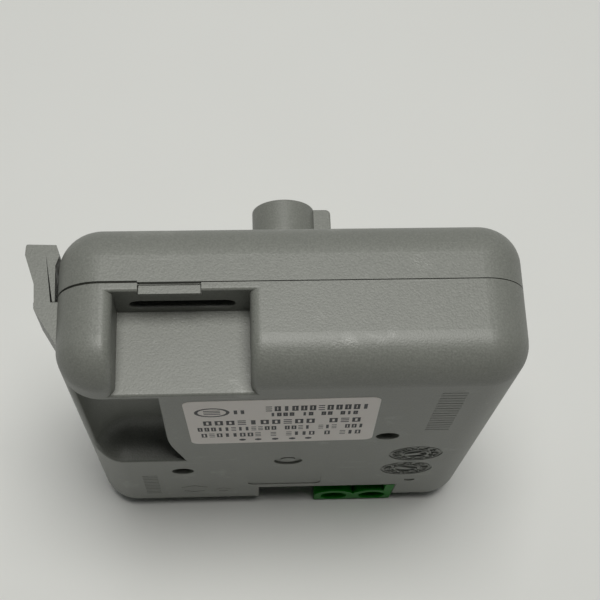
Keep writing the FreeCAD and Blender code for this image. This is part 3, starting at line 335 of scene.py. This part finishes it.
# %% Hand out the finishes
label_paper = mould("white_printed_film", "E8E2DE", "E2DBD6", 0.50, 0.30, 0.006, 9)
FINISH_OF_SLOT = {
    "case_plastic": case_abs,
    "label_film": label_paper,
    "zinc_steel": zinc_plate,
    "terminal_plastic": terminal_polyamide,
    "tinned_brass": tin_plate,
    "spindle_plastic": spindle_abs,
    "black_plastic": black_polyester,
    "white_plastic": ivory_polyester,
    "board_laminate": board_lacquer,
    "relay_plastic": relay_cover_plastic,
    "copper_winding": coil_wire,
    "soft_iron": nickel_plate,
    "yellow_plastic": film_box,
    "capacitor_sleeve": sleeve,
    "varistor_epoxy": varistor_epoxy,
    "chip_resin": chip_epoxy,
}
for part in frame["record"]["subparts"]:
    solid = solids[part["node"]]
    solid.data.materials.clear()
    solid.data.materials.append(FINISH_OF_SLOT[part["material_slot"]])

# %% [markdown]
# ## Working on the label face
# The sticker, its print and the raised marks all lie flat on one face. They are easiest to draw on
# a flat page, with u to the right, v upwards and height towards the reader, and then to lay down
# on the face in one move. Turning the page a quarter turn about X stands it upright, looking
# along minus Y, which is how this face looks.

# %% Helpers: lay a page on the face, and turn a bmesh into a piece
def on_face(x_mm, z_mm, depth=LABEL_FACE, turn_degrees=0.0):
    """The move that lays a page, drawn in millimetres, on the label face around one point."""
    spot = Matrix.Translation((x_mm * MM, depth, z_mm * MM))
    crooked = Matrix.Rotation(math.radians(-turn_degrees), 4, "Y")
    upright = Matrix.Rotation(math.radians(90), 4, "X")
    return spot @ crooked @ upright @ Matrix.Scale(MM, 4)


def make_piece(shape, name, move, finish, body="housing"):
    """Move a finished bmesh into place as a piece that rides on a body."""
    bmesh.ops.transform(shape, matrix=move, verts=shape.verts)
    bmesh.ops.recalc_face_normals(shape, faces=shape.faces)
    mesh = bpy.data.meshes.new(name)
    shape.to_mesh(mesh)
    shape.free()
    mesh.materials.append(finish)
    piece = bpy.data.objects.new(name, mesh)
    bpy.context.scene.collection.objects.link(piece)
    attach(piece, body)
    return piece


def join_page(shape, addition):
    """Add everything on one page to another."""
    carried = bpy.data.meshes.new("carried")
    addition.to_mesh(carried)
    addition.free()
    shape.from_mesh(carried)
    bpy.data.meshes.remove(carried)


def lift_faces(shape, height):
    """Extrude all the faces of a page and raise the new ones."""
    raised = bmesh.ops.extrude_face_region(shape, geom=list(shape.faces))
    corners = [item for item in raised["geom"] if isinstance(item, bmesh.types.BMVert)]
    bmesh.ops.translate(shape, verts=corners, vec=(0, 0, height))


def lay_bar(shape, u, v, width, height, thickness, turn_degrees=0.0, foot=0.0, soft=0.0):
    """Add one flat bar to the page, standing from foot to thickness, with its top rim softened."""
    bar = bmesh.new()
    bmesh.ops.create_cube(bar, size=1.0)
    bmesh.ops.scale(bar, vec=(width, height, thickness - foot), verts=bar.verts)
    if soft:
        rim = [edge for edge in bar.edges if all(vert.co.z > 0 for vert in edge.verts)]
        bmesh.ops.bevel(bar, geom=rim, affect="EDGES", offset=soft, segments=2, profile=0.5,
                        material=-1)
    turn = Matrix.Rotation(math.radians(turn_degrees), 4, "Z")
    move = Matrix.Translation((u, v, (thickness + foot) / 2)) @ turn
    bmesh.ops.transform(bar, matrix=move, verts=bar.verts)
    join_page(shape, bar)


def lay_ring(shape, u, v, radius, width, thickness, sides=48, foot=0.0, stretch=1.0):
    """Add one flat ring to the page, or a disc when the width is the radius."""
    ring = bmesh.new()
    bmesh.ops.create_circle(ring, cap_ends=True, segments=sides, radius=radius)
    if width < radius:
        middle = list(ring.faces)
        bmesh.ops.inset_region(ring, faces=middle, thickness=width, use_boundary=True,
                               use_even_offset=True)
        bmesh.ops.delete(ring, geom=middle, context="FACES")
    lift_faces(ring, thickness - foot)
    move = Matrix.Translation((u, v, foot)) @ Matrix.Diagonal((1.0, stretch, 1.0, 1.0))
    bmesh.ops.transform(ring, matrix=move, verts=ring.verts)
    join_page(shape, ring)


# %% [markdown]
# ## The sticker
# The real label is a strip of white plastic film, a tenth of a millimetre thick with rounded
# corners, rolled on by hand and so a degree and a half crooked. A grid is cut to the label's
# outline, its corner points are rounded with a bevel and the sheet is given its thickness by
# extruding it. It takes the place of the CAD solid.

# %% Cut and lay the sticker
LABEL_X, LABEL_Z, LABEL_TILT = -2.0, 76.0, 1.6
LABEL_WIDTH, LABEL_HEIGHT, LABEL_CORNER, FILM = 39.5, 31.0, 2.0, 0.10

sheet = bmesh.new()
outline = bmesh.ops.create_grid(sheet, x_segments=1, y_segments=1, size=0.5)
bmesh.ops.scale(sheet, vec=(LABEL_WIDTH, LABEL_HEIGHT, 1), verts=outline["verts"])
bmesh.ops.bevel(sheet, geom=list(sheet.verts), affect="VERTICES", offset=LABEL_CORNER, segments=8,
                profile=0.5, material=-1)
lift_faces(sheet, FILM)
label_move = on_face(LABEL_X, LABEL_Z, turn_degrees=LABEL_TILT)
sticker = make_piece(sheet, "label_sheet", label_move, label_paper)
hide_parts("rating_label")
print("sticker with", len(sticker.data.polygons), "faces")

# %% [markdown]
# ## The print on the sticker
# What is printed is not copied: the lines of type become rows of small frames, stacks of three
# lines and blocks, grouped like words, which read as print from a distance and say nothing up
# close. The mark in the corner is a plain oval. Each shape is a sliver of ink lying on the film,
# twelve thousandths of a millimetre thick; thermal-transfer ink is matt and slightly uneven, so
# its finish is a soft black with clouds. A seeded generator picks the shapes, so that they never
# change.

# %% Ink and the rows of print
ink = mould("thermal_transfer_ink", "26262A", "3A3A3E", 0.60, 0.15, 0.004, 1.2)
INK_TOP = FILM + 0.012
INK_FOOT = FILM - 0.01
# each row: left, right, low, high, line weight, word lengths
ROWS = (
    (-3.5, 17.8, 8.0, 11.3, 0.55, (12,)),
    (-2.5, 15.7, 4.4, 6.8, 0.45, (4, 2, 2, 3)),
    (-16.7, 16.7, -1.2, 1.9, 0.60, (10, 3)),
    (-18.0, 17.4, -5.6, -2.9, 0.42, (12, 4, 3, 3)),
    (-17.5, 17.1, -10.3, -7.5, 0.42, (8, 1, 4, 1, 3)),
)
chance = random.Random(7)
type_rows = bmesh.new()
tokens = 0


def ink_bar(u, v, width, height):
    lay_bar(type_rows, u, v, width, height, INK_TOP, foot=INK_FOOT)


for left, right, low, high, weight, words in ROWS:
    step = (right - left) / (sum(words) + len(words) - 1)
    at = left + step / 2
    wide, tall, middle = step * 0.72, high - low, (low + high) / 2
    for word in words:
        for _ in range(word):
            form = chance.choice(("frame", "frame", "stack", "block"))
            if form == "frame":
                for side in (-1, 1):
                    ink_bar(at + side * (wide - weight) / 2, middle, weight, tall)
                    ink_bar(at, middle + side * (tall - weight) / 2, wide, weight)
            elif form == "stack":
                for lift in (-1, 0, 1):
                    ink_bar(at, middle + lift * (tall - weight) / 2, wide, weight)
            else:
                ink_bar(at, middle, wide * 0.55, tall)
            tokens += 1
            at += step
        at += step
for u in (-8.6, -5.2, -1.5, 2.2, 5.7):
    lay_ring(type_rows, u, -12.9, 0.8, 0.8, INK_TOP, sides=6, foot=INK_FOOT)
OVAL_U, OVAL_V = -14.2, 8.0
lay_ring(type_rows, OVAL_U, OVAL_V, 3.6, 0.7, INK_TOP, foot=INK_FOOT, stretch=0.85)
for lift in (-1.1, 0.0, 1.1):
    ink_bar(OVAL_U, OVAL_V + lift, 3.4, 0.45)
for u in (-9.4, -8.0):
    ink_bar(u, 7.9, 0.7, 2.6)
type_piece = make_piece(type_rows, "label_print", label_move, ink)
print(tokens, "tokens of print")

# %% [markdown]
# ## Raised marks of the mould
# A mould carries small inserts: two date dials that show when a part was made, and engraved lines
# that stand proud on the plastic. A dial is a sunken disc with a ring of numbers and a pointer in
# the middle. The numbers here are plain ones, twelve months on one dial and a few years on the
# other. The engraved lines are replaced by plain rows of ribs of the same size. All of it stands
# about a tenth of a millimetre proud, so the rims are softened to catch the light.

# %% Two date dials
DIALS = (
    ("month_dial", 29.7, 47.4, [str(month) for month in range(1, 13)], 20),
    ("year_dial", 29.1, 33.8, [str(year) for year in range(20, 28)], -25),
)
DIAL_FLOOR = LABEL_FACE + 0.25 * MM
RAISED = 0.33
POINTER_RAISED = RAISED + 0.04
NUMBER_RADIUS = 4.3
NUMBER_HEIGHT = 2.3
for name, x_mm, z_mm, numbers, pointer in DIALS:
    dial = bmesh.new()
    lay_ring(dial, 0, 0, 5.7, 0.25, RAISED - 0.12)
    lay_ring(dial, 0, 0, 3.0, 0.3, RAISED)
    lay_bar(dial, 0, 0, 5.2, 1.5, POINTER_RAISED, pointer, soft=0.12)
    head = Matrix.Rotation(math.radians(pointer), 3, "Z") @ Vector((1.9, 0, 0))
    lay_bar(dial, head.x, head.y, 1.7, 1.7, POINTER_RAISED, pointer + 45, soft=0.12)
    for index, number in enumerate(numbers):
        angle = math.radians(90 - 360 * index / len(numbers))
        text = bpy.data.curves.new(f"{name}_number", "FONT")
        text.body = number
        text.size = NUMBER_HEIGHT
        text.align_x = "CENTER"
        text.align_y = "CENTER"
        text.extrude = RAISED / 2
        holder = bpy.data.objects.new(f"{name}_number", text)
        flat = bpy.data.meshes.new_from_object(holder)
        turned = Matrix.Rotation(angle - math.pi / 2, 4, "Z")
        spot = (NUMBER_RADIUS * math.cos(angle), NUMBER_RADIUS * math.sin(angle), RAISED / 2)
        flat.transform(Matrix.Translation(spot) @ turned)
        dial.from_mesh(flat)
        bpy.data.objects.remove(holder)
        bpy.data.meshes.remove(flat)
    make_piece(dial, name, on_face(x_mm, z_mm, DIAL_FLOOR), case_abs)
    print(name, "with", len(numbers), "numbers")

# %% Rows of ribs and two small frames
PROUD = 0.07
SUNK = -0.1
# each row: how many ribs, x, z of the first, step, length, thickness
RIB_ROWS = ((16, 31.7, 67.4, 1.72, 5.2, 0.75), (12, -32.7, 13.2, 1.6, 3.6, 0.7))
ribs = bmesh.new()
for count, x_mm, z_mm, step, length, thickness in RIB_ROWS:
    for index in range(count):
        lay_bar(ribs, x_mm, z_mm + index * step, length, thickness, PROUD, chance.uniform(-3, 3),
                foot=SUNK, soft=0.04)
for u, v, radius in ((-22.4, 16.8, 3.7), (-15.2, 15.2, 2.1)):
    lay_ring(ribs, u, v, radius, 0.7, PROUD, sides=6, foot=SUNK)
rib_piece = make_piece(ribs, "raised_ribs", on_face(0, 0), case_abs)
print("ribs and frames:", len(rib_piece.data.polygons), "faces")

# %% [markdown]
# ## Floor, light and camera
# The module stands on a pale matt sheet. A large lamp above and behind it is the main light, as a
# window or a softbox would be: it lights the end that faces up, leaves the label side in soft
# shade and throws a faint shadow forwards. The sky fills the rest. The camera looks down on the
# notched end from above the label side.

# %% Floor
floor_sheet = mould("pale_matt_paper", "E8E9E6", "E4E5E2", 0.75, 0.8, 0.010, 60)
floor_shape = bmesh.new()
bmesh.ops.create_grid(floor_shape, x_segments=1, y_segments=1, size=3.0)
floor_mesh = bpy.data.meshes.new("floor")
floor_shape.to_mesh(floor_mesh)
floor_shape.free()
floor_mesh.materials.append(floor_sheet)
floor = bpy.data.objects.new("floor", floor_mesh)
bpy.context.scene.collection.objects.link(floor)
floor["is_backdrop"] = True

# %% Light
def hang_lamp(name, place, aim, width, depth, watts, colour):
    """A soft rectangular lamp at one point, facing another."""
    lamp = bpy.data.lights.new(name, "AREA")
    lamp.shape = "RECTANGLE"
    lamp.size = width
    lamp.size_y = depth
    lamp.energy = watts
    lamp.color = paint(colour)[:3]
    holder = bpy.data.objects.new(name, lamp)
    facing = (Vector(aim) - Vector(place)).to_track_quat("-Z", "Y").to_matrix().to_4x4()
    holder.matrix_world = Matrix.Translation(place) @ facing
    bpy.context.scene.collection.objects.link(holder)


hang_lamp("ceiling_panel", (0.03, 0.07, 1.15), (0, 0, 0.05), 0.50, 0.40, 9.2, "FFFEFA")
sky = bpy.data.worlds.new("studio")
sky.use_nodes = True
# the world is dimmer on the label side, where a person stands and blocks the room's light
view = add(sky, "ShaderNodeTexCoord").outputs["Generated"]
sideways = add(sky, "ShaderNodeSeparateXYZ", {"Vector": view})
brightness = add(sky, "ShaderNodeMapRange",
                 {"Value": sideways.outputs["Y"], "From Min": -0.15, "From Max": 0.45,
                  "To Min": 0.02, "To Max": 0.27})
backdrop = sky.node_tree.nodes["Background"]
backdrop.inputs["Color"].default_value = paint("F2F5F8")
sky.node_tree.links.new(brightness.outputs["Result"], backdrop.inputs["Strength"])
bpy.context.scene.world = sky
bpy.context.scene.view_settings.view_transform = "Standard"

# %% Camera
camera_data = bpy.data.cameras.new("camera")
camera_data.sensor_width = 36
camera_data.lens = 73.6
camera_data.clip_start = 0.01
camera = bpy.data.objects.new("camera", camera_data)
PITCH, YAW, ROLL = 0.3808, -0.0496, -0.0143
aim = Matrix.Rotation(PITCH, 4, "X") @ Matrix.Rotation(YAW, 4, "Y") @ Matrix.Rotation(ROLL, 4, "Z")
camera.matrix_world = Matrix.Translation((-10.56 * MM, -90.47 * MM, 322.5 * MM)) @ aim
bpy.context.scene.collection.objects.link(camera)
bpy.context.scene.camera = camera
print("camera", [round(value / MM, 1) for value in camera.location], "mm")

# %% Print the box of all that is shown and finish
low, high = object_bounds()
print("visual box from", tuple(low), "to", tuple(high))
